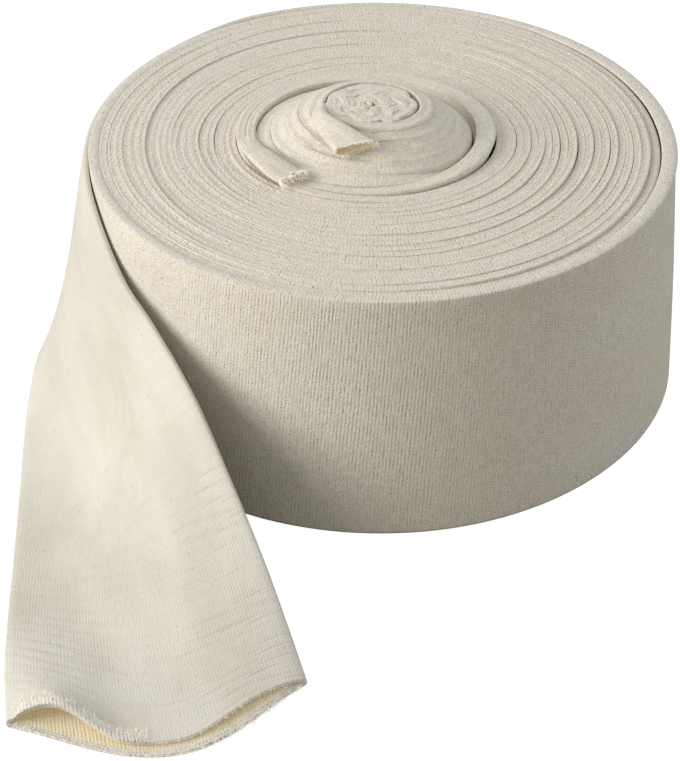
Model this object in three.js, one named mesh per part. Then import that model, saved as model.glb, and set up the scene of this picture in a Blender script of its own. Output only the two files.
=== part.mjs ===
// A roll of tubular bandage standing on its end, with its loose end twisted over and laid in front.
// Millimetres, +Z up. The origin is on the roll's axis, at its flat underside. -Y is the front.

import * as THREE from 'three';

// The cloth: a seamless knitted tube, pressed flat, two walls thick.
const WALL = 1.1;
const FLAT_WIDTH = 75;

// The wound form. The last turn leaves the roll at LEAVE_ANGLE, seen from above.
const ROLL_RADIUS = 86.6;
const TURN_PITCH = 2.5;
const LEAVE_ANGLE = THREE.MathUtils.degToRad(118);
const LEAVE_STEP = THREE.MathUtils.degToRad(0.25);
const EDGE_ROUND = 2.0;
const INNER_RIM = ROLL_RADIUS - TURN_PITCH - EDGE_ROUND;
const SIDE_BULGE = 0.5;
const BULGE_START = 0.3;
const BULGE_FULL = 0.45;
const BULGE_FADE = 0.85;
const ROLL_COLUMNS = 72;

// The raised ring of inner turns and the crown of the core inside it.
const RING_CENTRE = new THREE.Vector2(-2.4, 0);
const CORE_CENTRE = new THREE.Vector2(-1.8, 0.6);
const RING_RADIUS = 37.5;
const CORE_RADIUS = 14;

// Ridges of the wound folds between the rim and the ring. Each has a groove and two crests at
// these shares of its width. They drift in and out and rise and fall a little on their way round.
const RIDGE_COUNT = 6;
const RIDGE_HEIGHT = 0.9;
const GROOVE_PLACE = 0.16;
const CREST_PLACES = [0.45, 0.8];
const RIDGE_DRIFT = 0.5;
const RIDGE_UNEVEN = 0.35;

// Heights over the rim from the ring inward, at the back and sides and at the front.
const CROWN = [
  { radius: 37.5, back: -0.4, front: -0.5 },
  { radius: 36.2, back: 1.6, front: 0.0 },
  { radius: 34.6, back: 3.2, front: 0.4 },
  { radius: 32.4, back: 3.0, front: 0.3 },
  { radius: 31.0, back: 1.0, front: -0.3 },
  { radius: 30.2, back: -3.0, front: -0.2 },
  { radius: 29.2, back: -2.6, front: 0.3 },
  { radius: 28.2, back: 0.8, front: 1.0 },
  { radius: 26.0, back: 2.4, front: 2.4 },
  { radius: 24.2, back: 3.0, front: 3.0 },
  { radius: 23.4, back: 4.8, front: 4.8 },
  { radius: 20.6, back: 6.2, front: 6.2 },
  { radius: 19.8, back: 8.2, front: 8.0 },
  { radius: 17.2, back: 10.4, front: 9.6 },
  { radius: 15.2, back: 11.0, front: 10.2 },
  { radius: 14.0, back: 9.8, front: 9.6 },
  { radius: 12.6, back: 11.6, front: 11.2 },
  { radius: 9.0, back: 12.2, front: 12.0 },
  { radius: 5.0, back: 11.6, front: 11.6 },
];

const FRONT_TURN = 0.15;
const FRONT_SPAN = 0.35;

// Two inner cut ends, of the ring and of the core, each an arc of sleeve that swells up out of the
// face and drops off at its cut. Angles are in degrees.
const CUT_ENDS = [
  { radius: 34.4, from: 150, to: 229, halfWidth: 3.2, rise: 1.8 },
  { radius: 18.6, from: 165, to: 256, halfWidth: 4.6, rise: 4.0 },
];
const CUT_END_SWELL = 40;
const CUT_END_DROP = 5;

// Sections of the loose end, from where it leaves the roll to its mouth: the top fold, the foot
// fold, how far the cloth bows out between them, how far its middle runs ahead, and how far the
// tube stands open. The first row only steers the curves round the roll.
const SECTIONS = [
  { top: [-21.2, 82.8, 73.9], foot: [-21.2, 82.8, 1.1], bow: 0, reach: 0, open: 0 },
  { top: [-40.7, 75.2, 73.9], foot: [-40.7, 75.2, 1.1], bow: 0, reach: 0, open: 0 },
  { top: [-57.3, 63.6, 73.9], foot: [-57.3, 63.6, 1.1], bow: 0, reach: 0, open: 0 },
  { top: [-71.1, 47.9, 73.9], foot: [-68.8, 51.6, 1.1], bow: 0, reach: 0, open: 0 },
  { top: [-80.7, 29.4, 73.9], foot: [-81.2, 36, 1.1], bow: -0.3, reach: 0, open: 0 },
  { top: [-85.7, 9, 73.9], foot: [-92, 20, 1.1], bow: -1.8, reach: 0, open: 0 },
  { top: [-85.8, -14, 73.9], foot: [-99.5, 2, 1.1], bow: -3.5, reach: 0, open: 0 },
  { top: [-80.6, -36, 72.5], foot: [-102, -20, 1.1], bow: -3, reach: 0, open: 0 },
  { top: [-71, -56, 68.5], foot: [-102, -42, 1.1], bow: -0.5, reach: 0, open: 0 },
  { top: [-60.5, -72, 60], foot: [-101.3, -64, 1.1], bow: 4, reach: 0, open: 0 },
  { top: [-49.5, -87, 45], foot: [-100.6, -86, 1.1], bow: 7.5, reach: 0, open: 0 },
  { top: [-40.5, -99, 26], foot: [-100, -106, 1.1], bow: 9, reach: 2, open: 0 },
  { top: [-32, -112, 8.5], foot: [-99.5, -125, 1.1], bow: 6, reach: 6, open: 0.1 },
  { top: [-26, -130, 1.3], foot: [-98.5, -143, 1.1], bow: 1.5, reach: 13, open: 0.5 },
  { top: [-20, -152, 1.1], foot: [-97, -164, 1.1], bow: 0, reach: 21, open: 1 },
];
const RUN_STATIONS = 52;

// The hollow reaches back over this many sections, as a slit that the arches open at the mouth.
const HOLLOW_SECTIONS = 2.6;
const HOLLOW_STATIONS = 15;
const SLIT = 0.4;

// The open mouth: two arches of the upper wall, seen from the foot fold (0) to the top fold (1).
const ARCHES = [
  { centre: 0.19, halfWidth: 0.18, height: 8.6, setBack: 7 },
  { centre: 0.81, halfWidth: 0.19, height: 5.4, setBack: 2 },
];
const MOUTH_SET_BACK = 3;
const SET_BACK_START = 0.4;
const SLIT_FADE = 0.3;
const FOLD_SHARE = 0.05;

// Places across the cloth from fold to fold, close together where it turns round the fold.
const ACROSS = [
  0, 0.003, 0.015, 0.05, 0.1, 0.16, 0.23, 0.3, 0.38,
  0.48, 0.6, 0.7, 0.8, 0.88, 0.95, 0.985, 0.997, 1,
];

const smooth = (from, to, value) => THREE.MathUtils.smoothstep(value, from, to);
const hump = (value) => (Math.abs(value) < 1 ? Math.cos((value * Math.PI) / 2) ** 2 : 0);

// A closed body skinned over rings of equal point counts, each end closed round its middle.
function skin(rings) {
  const count = rings[0].length;
  const positions = [];
  const indices = [];
  for (const ring of rings) for (const point of ring) positions.push(point.x, point.y, point.z);
  for (let i = 0; i + 1 < rings.length; i += 1) {
    for (let j = 0; j < count; j += 1) {
      const a = i * count + j;
      const b = i * count + ((j + 1) % count);
      indices.push(a, b, b + count, a, b + count, a + count);
    }
  }
  const close = (ring, first, turned) => {
    const middle = ring.reduce((sum, point) => sum.add(point), new THREE.Vector3()).divideScalar(count);
    const tip = positions.length / 3;
    positions.push(middle.x, middle.y, middle.z);
    for (let j = 0; j < count; j += 1) {
      const next = (j + 1) % count;
      if (turned) indices.push(tip, first + j, first + next);
      else indices.push(tip, first + next, first + j);
    }
  };
  close(rings[0], 0, false);
  close(rings[rings.length - 1], (rings.length - 1) * count, true);
  const geometry = new THREE.BufferGeometry();
  geometry.setAttribute('position', new THREE.Float32BufferAttribute(positions, 3));
  geometry.setIndex(indices);
  geometry.computeVertexNormals();
  return geometry;
}

// Angles of the roll's columns: the last one stands just behind the step of the last turn.
function rollAngles() {
  const angles = [];
  for (let j = 0; j < ROLL_COLUMNS; j += 1) angles.push(LEAVE_ANGLE + (j * 2 * Math.PI) / ROLL_COLUMNS);
  angles.push(LEAVE_ANGLE + 2 * Math.PI - LEAVE_STEP);
  return angles;
}

// The outside of the roll grows by one turn's pitch on the way round to the step.
function outsideRadius(angle) {
  const turned = (angle - LEAVE_ANGLE) / (2 * Math.PI);
  return ROLL_RADIUS - TURN_PITCH * (1 - turned);
}

// The wall is straight under the loose end's first stretch and bulges a little elsewhere.
function sideBulge(angle) {
  const turned = (angle - LEAVE_ANGLE) / (2 * Math.PI);
  return SIDE_BULGE * smooth(BULGE_START, BULGE_FULL, turned) * (1 - smooth(BULGE_FADE, 1, turned));
}

// A ring of points round a centre, at one height or at a height for each angle.
function ringAt(height, radiusAt, centre = new THREE.Vector2()) {
  return rollAngles().map((angle) => {
    const radius = radiusAt(angle);
    return new THREE.Vector3(
      centre.x + radius * Math.cos(angle),
      centre.y + radius * Math.sin(angle),
      typeof height === 'function' ? height(angle) : height,
    );
  });
}

// Underside, rounded foot, wall and rounded rim.
function wallRings() {
  const rings = [ringAt(0, () => ROLL_RADIUS / 2)];
  for (const turn of [0, 0.5, 1]) {
    const lean = (turn * Math.PI) / 2;
    const inset = EDGE_ROUND * (1 - Math.sin(lean));
    rings.push(ringAt(EDGE_ROUND * (1 - Math.cos(lean)), (angle) => outsideRadius(angle) - inset));
  }
  rings.push(ringAt(FLAT_WIDTH / 2, (angle) => outsideRadius(angle) + sideBulge(angle)));
  for (const turn of [1, 0.5, 0]) {
    const lean = (turn * Math.PI) / 2;
    const inset = EDGE_ROUND * (1 - Math.sin(lean));
    const height = FLAT_WIDTH - EDGE_ROUND * (1 - Math.cos(lean));
    rings.push(ringAt(height, (angle) => outsideRadius(angle) - inset));
  }
  return rings;
}

// Ridges and grooves of the face between the rim and the ring, as uneven as hand-wound folds.
function faceRings() {
  const rings = [];
  for (let ridge = 0; ridge < RIDGE_COUNT; ridge += 1) {
    for (const place of [GROOVE_PLACE, ...CREST_PLACES]) {
      const share = (ridge + place) / RIDGE_COUNT;
      const isGroove = place === GROOVE_PLACE;
      const radiusAt = (angle) => {
        const drift = RIDGE_DRIFT * Math.sin(2 * angle + ridge);
        return THREE.MathUtils.lerp(INNER_RIM, RING_RADIUS, share) + drift * (1 - share);
      };
      const heightAt = (angle) => {
        if (isGroove) return FLAT_WIDTH - RIDGE_HEIGHT;
        return FLAT_WIDTH + RIDGE_UNEVEN * Math.sin(3 * angle + 2 * ridge);
      };
      rings.push(ringAt(heightAt, radiusAt, RING_CENTRE.clone().multiplyScalar(share)));
    }
  }
  return rings;
}

// How much a raised cut end adds at a place on the face.
function cutEndRise(radius, angle) {
  const degrees = THREE.MathUtils.euclideanModulo(THREE.MathUtils.radToDeg(angle), 360);
  let rise = 0;
  for (const end of CUT_ENDS) {
    const swell = smooth(end.from, end.from + CUT_END_SWELL, degrees);
    const cut = 1 - smooth(end.to, end.to + CUT_END_DROP, degrees);
    rise += end.rise * swell * cut * hump((radius - end.radius) / end.halfWidth);
  }
  return rise;
}

function crownRings() {
  return CROWN.map(({ radius, back, front }) => {
    const inward = smooth(CORE_RADIUS, RING_RADIUS, radius);
    const centre = CORE_CENTRE.clone().lerp(RING_CENTRE, inward);
    const heightAt = (angle) => {
      const frontShare = smooth(FRONT_SPAN, 1, -Math.sin(angle - FRONT_TURN));
      return FLAT_WIDTH + THREE.MathUtils.lerp(back, front, frontShare) + cutEndRise(radius, angle);
    };
    return ringAt(heightAt, () => radius, centre);
  });
}

function makeWoundRoll() {
  return skin([...wallRings(), ...faceRings(), ...crownRings()]);
}

// The section table as three smooth curves: the top fold, the foot fold, and the cloth's shape.
function sectionCurve(valuesOf) {
  const points = SECTIONS.map((section) => new THREE.Vector3(...valuesOf(section)));
  return new THREE.CatmullRomCurve3(points, false, 'catmullrom', 0.5);
}
const topFold = sectionCurve((section) => section.top);
const footFold = sectionCurve((section) => section.foot);
const shape = sectionCurve(({ bow, reach, open }) => [bow, reach, open]);

// The flattened tube's frame at one station of its run.
function frameAt(along) {
  const top = topFold.getPoint(along);
  const foot = footFold.getPoint(along);
  const across = top.clone().sub(foot);
  const run = topFold.getTangent(along).add(footFold.getTangent(along)).normalize();
  const outward = run.clone().cross(across).normalize();
  const { x: bow, y: reach, z: open } = shape.getPoint(along);
  return { foot, across, run, outward, bow, reach, open: Math.max(open, 0) };
}

// What the arches add at a place across the cloth, of their height or of their set-back.
function archSum(across, measure) {
  return ARCHES.reduce((sum, arch) => {
    return sum + arch[measure] * hump((across - arch.centre) / arch.halfWidth);
  }, 0);
}

// Height of the upper wall over the lower one. It closes at both folds.
function gapAt(across, open) {
  const toFolds = smooth(0, FOLD_SHARE, across) * smooth(0, FOLD_SHARE, 1 - across);
  return (SLIT * smooth(0, SLIT_FADE, open) + archSum(across, 'height') * open) * toFolds;
}

// How far the upper wall's cut edge stands back from the lower one's.
function setBackAt(across, open) {
  const whole = archSum(across, 'setBack') + MOUTH_SET_BACK * Math.sin(Math.PI * across);
  return whole * smooth(SET_BACK_START, 1, open);
}

// A point of the cloth's middle layer, moved out by a height.
function clothPoint(frame, across, height, back) {
  const belly = 4 * across * (1 - across);
  return frame.foot.clone()
    .addScaledVector(frame.across, across)
    .addScaledVector(frame.outward, frame.bow * belly + height)
    .addScaledVector(frame.run, frame.reach * belly - back);
}

// Half the flat thickness, rounded off at both folds.
function halfThickness(across) {
  const fromFold = Math.min(across, 1 - across) * FLAT_WIDTH;
  const short = Math.max(1 - fromFold / WALL, 0);
  return WALL * Math.sqrt(1 - short * short);
}

// One loop round the tube: out along the lower wall and back along the upper one.
function outerLoop(along) {
  const frame = frameAt(along);
  const lower = ACROSS.map((across) => clothPoint(frame, across, -halfThickness(across), 0));
  const upper = ACROSS.slice(1, -1).reverse().map((across) => {
    const height = halfThickness(across) + gapAt(across, frame.open);
    return clothPoint(frame, across, height, setBackAt(across, frame.open));
  });
  return [...lower, ...upper];
}

// The same loop on the inside of the walls.
function innerLoop(along) {
  const frame = frameAt(along);
  const inset = WALL / FLAT_WIDTH;
  const inside = (across) => inset + across * (1 - 2 * inset);
  const lower = ACROSS.map((across) => clothPoint(frame, inside(across), 0, 0));
  const upper = ACROSS.slice(1, -1).reverse().map((across) => {
    const place = inside(across);
    return clothPoint(frame, place, gapAt(place, frame.open), setBackAt(place, frame.open));
  });
  return [...lower, ...upper];
}

// Out along the outside to the mouth, and back along the inside to the hollow's end.
function makeLooseEnd() {
  const sectionShare = 1 / (SECTIONS.length - 1);
  const outside = [];
  for (let i = 0; i <= RUN_STATIONS; i += 1) {
    outside.push(outerLoop(THREE.MathUtils.lerp(sectionShare, 1, i / RUN_STATIONS)));
  }
  const inside = [];
  for (let i = 0; i <= HOLLOW_STATIONS; i += 1) {
    inside.push(innerLoop(1 - (HOLLOW_SECTIONS * sectionShare * i) / HOLLOW_STATIONS));
  }
  return skin([...outside, ...inside]);
}

// Undyed cotton in two shades: the roll's ribbed wall and the smoother loose end.
const rollCloth = new THREE.MeshStandardMaterial({ color: 0xd8d0bc, roughness: 0.95, metalness: 0 });
const looseCloth = new THREE.MeshStandardMaterial({ color: 0xe3dccb, roughness: 0.95, metalness: 0 });

const woundRoll = new THREE.Mesh(makeWoundRoll(), rollCloth);
woundRoll.name = 'wound_roll';
const looseEnd = new THREE.Mesh(makeLooseEnd(), looseCloth);
looseEnd.name = 'loose_end';

const group = new THREE.Group();
group.add(woundRoll, looseEnd);
export default group;
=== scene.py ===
# %% [markdown]
# # A roll of tubular bandage
# The real thing is one long knitted cotton tube, pressed flat and wound up edge on. A cylinder with
# a spiral painted on its face would be quicker, but folds catch the light only where they are real.
# So the roll is built the way it is wound: every turn is a strip of flattened tube with its own folds,
# laid along a spiral. The frame is loaded first from model.glb.

# %% Load the frame
import bpy
import numpy as np
from math import cos, pi, radians, sin, tau
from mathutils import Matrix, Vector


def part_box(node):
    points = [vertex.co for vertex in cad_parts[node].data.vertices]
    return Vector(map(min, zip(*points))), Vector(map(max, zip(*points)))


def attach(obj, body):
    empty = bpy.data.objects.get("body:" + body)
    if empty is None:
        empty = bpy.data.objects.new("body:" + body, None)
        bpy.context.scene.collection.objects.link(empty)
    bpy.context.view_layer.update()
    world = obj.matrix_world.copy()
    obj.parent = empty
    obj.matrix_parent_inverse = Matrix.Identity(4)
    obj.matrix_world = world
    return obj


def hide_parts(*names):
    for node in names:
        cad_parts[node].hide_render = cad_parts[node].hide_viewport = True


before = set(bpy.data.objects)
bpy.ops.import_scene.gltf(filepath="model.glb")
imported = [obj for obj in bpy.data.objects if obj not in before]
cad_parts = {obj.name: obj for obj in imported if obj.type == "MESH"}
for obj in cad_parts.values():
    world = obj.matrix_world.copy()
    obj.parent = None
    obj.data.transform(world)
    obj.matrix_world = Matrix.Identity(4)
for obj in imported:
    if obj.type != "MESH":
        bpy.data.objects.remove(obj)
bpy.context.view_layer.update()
MM = 0.001
roll_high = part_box("wound_roll")[1]
print("frame nodes:", sorted(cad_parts), "height", round(roll_high.z, 4))

# %% [markdown]
# ## The sizes that the cloth keeps
# The tube is knitted to one width, and its two walls lie on each other all along the roll. The
# sizes repeat those of the CAD source. They could be measured from its solids instead, but a named
# size is easier to follow. They are in millimetres, and turn into metres where a mesh is made.

# %% The cloth and the roll
WALL = 1.1
FLAT_WIDTH = 75.0
ROLL_RADIUS = 86.6
LEAVE_ANGLE = 118.0
LAST_MIDDLE = ROLL_RADIUS - WALL
print("the last turn's middle runs at", LAST_MIDDLE, "mm from the axis")

# %% [markdown]
# ## The camera
# The photograph looks down at the roll by about 35 degrees. A long lens keeps the wall's edges
# nearly upright. The angle could be found by trial, but the oval of the rim gives it at once: how
# much flatter it is than a circle is the sine of the angle. The camera is set before the pieces, so
# that each can be judged in its place in the picture.

# %% Camera
LENS = 141.93
SENSOR_WIDTH = 36
CAMERA_PLACE = (-0.01079, -0.74987, 0.50850)
LOOK_DOWN = 34.607
NEAREST = 0.05
FARTHEST = 50

camera_data = bpy.data.cameras.new("camera")
camera_data.lens = LENS
camera_data.sensor_width = SENSOR_WIDTH
camera_data.clip_start = NEAREST
camera_data.clip_end = FARTHEST
camera = bpy.data.objects.new("camera", camera_data)
camera.location = CAMERA_PLACE
camera.rotation_euler = (radians(90 - LOOK_DOWN), 0, 0)
bpy.context.scene.collection.objects.link(camera)
bpy.context.scene.camera = camera
bpy.context.scene.view_settings.view_transform = "Standard"
print("camera looks down by", round(LOOK_DOWN, 1), "degrees")

# %% [markdown]
# ## Light
# One broad soft light stands low at the left, so that every fold is bright on its left side and
# shaded on its right. A weak one at the right and a pale sky open the shadows. A panorama of a
# studio could do the same, but two lights and a plain sky are easier to balance, one at a time.

# %% Key light, fill light and sky
from mathutils import Vector

KEY_PLACE = Vector((-1.35, -0.42, 0.66))
KEY_POWER = 19.5
KEY_COLOUR = (1.0, 0.985, 0.955)
FILL_PLACE = Vector((1.3, 0.5, 0.5))
FILL_POWER = 4
LIGHT_TARGET = Vector((0, -0.02, 0.04))
LIGHT_SIZE = 0.95
SKY_COLOUR = (0.96, 0.985, 0.997, 1)
SKY_STRENGTH = 0.50


def add_soft_light(name, place, power, colour):
    """A square soft light that faces the roll."""
    data = bpy.data.lights.new(name, "AREA")
    data.size = LIGHT_SIZE
    data.energy = power
    data.color = colour
    light = bpy.data.objects.new(name, data)
    light.location = place
    light.rotation_euler = (LIGHT_TARGET - place).to_track_quat("-Z", "Y").to_euler()
    bpy.context.scene.collection.objects.link(light)


add_soft_light("key_light", KEY_PLACE, KEY_POWER, KEY_COLOUR)
add_soft_light("fill_light", FILL_PLACE, FILL_POWER, SKY_COLOUR[:3])

sky = bpy.data.worlds.new("pale_sky")
sky.use_nodes = True
background = sky.node_tree.nodes["Background"]
background.inputs["Color"].default_value = SKY_COLOUR
background.inputs["Strength"].default_value = SKY_STRENGTH
bpy.context.scene.world = sky
print("key light", round((LIGHT_TARGET - KEY_PLACE).length, 2), "m away")

# %% [markdown]
# ## Floor and card
# The ground of the photograph is plain white paper. A white floor under these lights would come out
# grey, and more light would bleach the cloth. So the floor glows by itself and throws nothing onto
# the cloth. What a table throws back comes from a duller, warmer card just below the floor, which
# the camera doesn't see.

# %% Floor and card
FLOOR_SIZE = 8
FLOOR_COLOUR = (0.36, 0.36, 0.36)
FLOOR_GLOW = 0.94
CARD_COLOUR = (0.39, 0.353, 0.28)
CARD_DEPTH = 0.0005


def add_plane(name, height, colour, glow):
    """A wide matt plane that isn't part of the object."""
    bpy.ops.object.select_all(action="DESELECT")
    bpy.ops.mesh.primitive_plane_add(size=FLOOR_SIZE, location=(0, 0, height))
    plane = bpy.context.active_object
    plane.name = name
    finish = bpy.data.materials.new(name)
    finish.use_nodes = True
    shader = finish.node_tree.nodes["Principled BSDF"]
    shader.inputs["Base Color"].default_value = (*colour, 1)
    shader.inputs["Roughness"].default_value = 1.0
    shader.inputs["Specular IOR Level"].default_value = 0.0
    shader.inputs["Emission Color"].default_value = (1, 1, 1, 1)
    shader.inputs["Emission Strength"].default_value = glow
    plane.data.materials.append(finish)
    return plane


floor = add_plane("floor", 0, FLOOR_COLOUR, FLOOR_GLOW)
floor.visible_diffuse = False
floor.visible_glossy = False
floor.visible_shadow = False
card = add_plane("card", -CARD_DEPTH, CARD_COLOUR, 0)
card.visible_camera = False
print("floor and card are", floor.data.materials[0].name, "and", card.data.materials[0].name)

# %% [markdown]
# ## Shader maths
# A knit is a pattern of sums and products. Its nodes could be added one call at a time, but then
# nobody could read the pattern. One small class wraps a socket instead, so that a pattern reads as
# ordinary Python and each operator adds its Math node.

# %% The socket class


class Wire:
    """A number that runs through a material's nodes."""

    def __init__(self, tree, socket):
        self.tree = tree
        self.socket = socket

    def node(self, kind, inputs=(), settings=(), out=0):
        """Adds any other node: its settings come first, then its sockets' values or links."""
        added = self.tree.nodes.new(kind)
        for name, value in dict(settings).items():
            setattr(added, name, value)
        for name, value in dict(inputs).items():
            socket = added.inputs[name]
            if isinstance(value, Wire):
                self.tree.links.new(value.socket, socket)
            elif value is not None:
                socket.default_value = value
        return Wire(self.tree, added.outputs[out])

    def math(self, operation, *others):
        """Adds a Math node with this number in its first socket."""
        inputs = dict(enumerate((self, *others)))
        return self.node("ShaderNodeMath", inputs, {"operation": operation})

    def __add__(self, other):
        return self.math("ADD", other)

    __radd__ = __add__

    def __mul__(self, other):
        return self.math("MULTIPLY", other)

    __rmul__ = __mul__

    def __sub__(self, other):
        return self.math("SUBTRACT", other)

    def __rsub__(self, other):
        return self * -1 + other

    def __truediv__(self, other):
        return self.math("DIVIDE", other)

    def power(self, exponent):
        return self.math("POWER", exponent)

    def wave(self):
        """One smooth hump for each whole step of the number, from 0 to 1."""
        return (self * tau).math("COSINE") * 0.5 + 0.5

    def step(self, low, high):
        """0 below low, 1 above high, smooth between."""
        limits = {0: self, 1: low, 2: high, 3: 0.0, 4: 1.0}
        return self.node("ShaderNodeMapRange", limits, {"interpolation_type": "SMOOTHSTEP"})

    def blend(self, first, second):
        """From the first colour to the second as the number goes from 0 to 1."""
        inputs = {0: self, 6: first, 7: second}
        return self.node("ShaderNodeMix", inputs, {"data_type": "RGBA"}, out=2)


print("a Wire knows", [name for name in vars(Wire) if not name.startswith("_")])

# %% [markdown]
# ## Undyed cotton
# The cloth is a warm off-white that wanders toward paler, rosier and greener tints, with brown
# flecks of cotton seed. One flat colour with noise over it would look like paper. The tints are
# kept apart by name, so that each can be laid on in its own patches.

# %% Colours
CREAM = (0.83, 0.775, 0.67, 1)
PALE = (0.86, 0.82, 0.74, 1)
ROSE = (0.79, 0.70, 0.61, 1)
SAGE = (0.70, 0.71, 0.60, 1)
# painted shade for grooves, pits and valleys of the knit, and the dark end of the random mottling
SHADE_AND_MOTTLE = (0.42, 0.34, 0.22, 1)
SEED = (0.26, 0.16, 0.08, 1)
TAN = (0.79, 0.68, 0.45, 1)
# The roll's top face gets a lighter copy of the cream: painted light.
FACE_PAINTED_LIGHT = (0.865, 0.79, 0.675, 1)
# The loose end gets a darker copy of the cream: painted shade.
LOOSE_PAINTED_SHADE = (0.668, 0.622, 0.532, 1)
print("cloth colours:", CREAM, TAN)

# %% [markdown]
# ## The knit's patterns
# Round the roll the knit shows fine ribs across the cloth, each a row of small loops. On the loose
# end finer ones run along it. A photograph of cloth wrapped over the mesh would blur and repeat, so
# ribs, loops and grain are worked out from each point's place on the cloth: how far along its run
# it lies, and how far across from the top fold.

# %% Place and grain
CLUMPS = 650
FIBRES = 1700


def cloth_place(tree):
    """The place on the cloth in metres: along the run, and across from the top fold."""
    uv = tree.nodes.new("ShaderNodeUVMap")
    uv.uv_map = "cloth"
    place = Wire(tree, uv.outputs[0])
    run = place.node("ShaderNodeSeparateXYZ", {0: place})
    girth = place.node("ShaderNodeSeparateXYZ", {0: place}, out=1)
    return run, girth


def noise(run, girth, run_scale, girth_scale, detail, offset):
    """Soft noise over the cloth, with its own scale along and across it, from 0 to 1."""
    place = run.node("ShaderNodeCombineXYZ", {0: run * run_scale, 1: girth * girth_scale, 2: offset})
    return run.node("ShaderNodeTexNoise", {"Vector": place, "Scale": 1.0, "Detail": detail})


def start_knit(name):
    """A new material, with the place on the cloth and the cloth's own unevenness: loose clumps
    and, finer, single fibres."""
    material = bpy.data.materials.new(name)
    material.use_nodes = True
    run, girth = cloth_place(material.node_tree)
    clump = noise(run, girth, CLUMPS, CLUMPS, detail=1, offset=6.6)
    fibre = noise(run, girth, FIBRES, FIBRES, detail=3, offset=1.3)
    return material, run, girth, clump, fibre


print("clumps and fibres for each metre of cloth:", CLUMPS, FIBRES)

# %% Ribs and lines
RIB_SWAY = 1.3
LOOP_STAGGER = 0.37
GROOVE_SHARPNESS = 1.4
PIT_SHARPNESS = 1.5


def ribbing(over, length, clump, pitch, loop, lean=0.0, broken=60):
    """Ribs side by side over the cloth. Gives their grooves and the pits between loops."""
    sway = noise(over, length, 70, 22, detail=1, offset=3.1) * RIB_SWAY
    row = over / pitch + length * (lean / pitch) + sway
    uneven = noise(over, length, 950, broken, detail=2, offset=7.7).step(0.3, 0.72) * 0.75 + 0.25
    groove = (1 - row.wave()).power(GROOVE_SHARPNESS) * uneven
    loops = (length / loop + row.math("FLOOR") * LOOP_STAGGER + sway).wave()
    return groove, groove * loops.power(PIT_SHARPNESS) * clump.step(0.36, 0.62)


def lines(over, length, pitch, broken, lean=0.0):
    """Plain broken lines side by side over the cloth."""
    row = over / pitch + length * (lean / pitch)
    return (1 - row.wave()) * noise(over, length, 700, broken, detail=1, offset=2.9).step(0.3, 0.7)


print("each row of loops is set off by", LOOP_STAGGER, "of a loop")

# %% [markdown]
# ## From pattern to cotton
# Every hollow of the knit is deeper in the bump and darker in the colour: painted shade, for the light
# that finds less way out of it in real cloth. Colour alone would look printed, and bump alone would
# look like plastic, so one pattern feeds both. Cotton hardly shines, and its fibres give a faint sheen
# at the edges.

# %% The cotton shader
ROUGHNESS = 0.95
SPECULAR = 0.15
SHEEN = 0.3
SHEEN_ROUGHNESS = 0.6
PIT_DEPTH = 2.6
PIT_SHADE = 3.5
FLECKS = 0.32
PALE_SHARE = 0.55
ROSE_SHARE = 0.35
SAGE_SHARE = 0.30
FIBRE_MOTTLE = 9
CLUMP_MOTTLE = 4


def cotton_colour(run, girth, base):
    """The base colour with pale, rosy and greenish patches, and where the seed flecks lie."""
    cream = noise(run, girth, 25, 45, detail=2, offset=5.5).step(0.35, 0.70)
    tint = noise(run, girth, 115, 140, detail=1, offset=9.1)
    fleck = noise(run, girth, 850, 850, detail=0, offset=2.2).step(0.80, 0.86)
    colour = (cream * PALE_SHARE).blend(base, PALE)
    colour = (tint.step(0.55, 0.72) * ROSE_SHARE).blend(colour, ROSE)
    colour = ((1 - tint).step(0.55, 0.72) * SAGE_SHARE).blend(colour, SAGE)
    return colour, fleck


def knit_shader(base, groove, pit, clump, fibre, relief, shade, mottle, creases=0):
    """Puts grooves and pits into bump and, as painted shade, into colour, with the tints and flecks of
    raw cotton.
    """
    tree = groove.tree
    shader = tree.nodes["Principled BSDF"]
    colour, fleck = cotton_colour(*cloth_place(tree), base)
    mottling = ((0.5 - fibre) * FIBRE_MOTTLE + (0.5 - clump) * CLUMP_MOTTLE + 1) * mottle
    # painted shade: grooves and pits darken the colour, together with random mottling
    colour = (groove * shade + pit * (PIT_SHADE * shade) + mottling).blend(colour, SHADE_AND_MOTTLE)
    colour = (fleck * FLECKS).blend(colour, SEED)
    tree.links.new(colour.socket, shader.inputs["Base Color"])
    shader.inputs["Roughness"].default_value = ROUGHNESS
    shader.inputs["Specular IOR Level"].default_value = SPECULAR
    shader.inputs["Sheen Weight"].default_value = SHEEN
    shader.inputs["Sheen Roughness"].default_value = SHEEN_ROUGHNESS
    height = (groove + pit * PIT_DEPTH) * (-relief) + fibre * (2.0 * mottle) - creases
    bumped = height.node("ShaderNodeBump", {"Height": height, "Strength": 1.0, "Distance": MM})
    tree.links.new(bumped.socket, shader.inputs["Normal"])


print("cotton's roughness is", ROUGHNESS, "and its sheen", SHEEN)

# %% [markdown]
# ## Outside of the roll
# The wall shows the tube's ribs upright, a millimetre apart and slightly leaning. Where the last turn
# leaves the roll the cloth is no longer stretched, and the ribs fade, while the colour turns to the
# loose end's darker copy of the cream, which is painted shade. Two materials with a hard edge would
# show a seam there, so the second one starts as the first and blends as it runs on.

# %% Wall knit and leaving knit
RIB_PITCH = 0.97 * MM
RIB_LOOP = 0.9 * MM
RIB_LEAN = -0.07
RIBS_FADE = (0.04, 0.105)

wall_knit, run, girth, clump, fibre = start_knit("wall_knit")
groove, pit = ribbing(run, girth, clump, RIB_PITCH, RIB_LOOP, RIB_LEAN, broken=260)
knit_shader(CREAM, groove, pit, clump, fibre, relief=0.075, shade=0.11, mottle=0.12)

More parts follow.
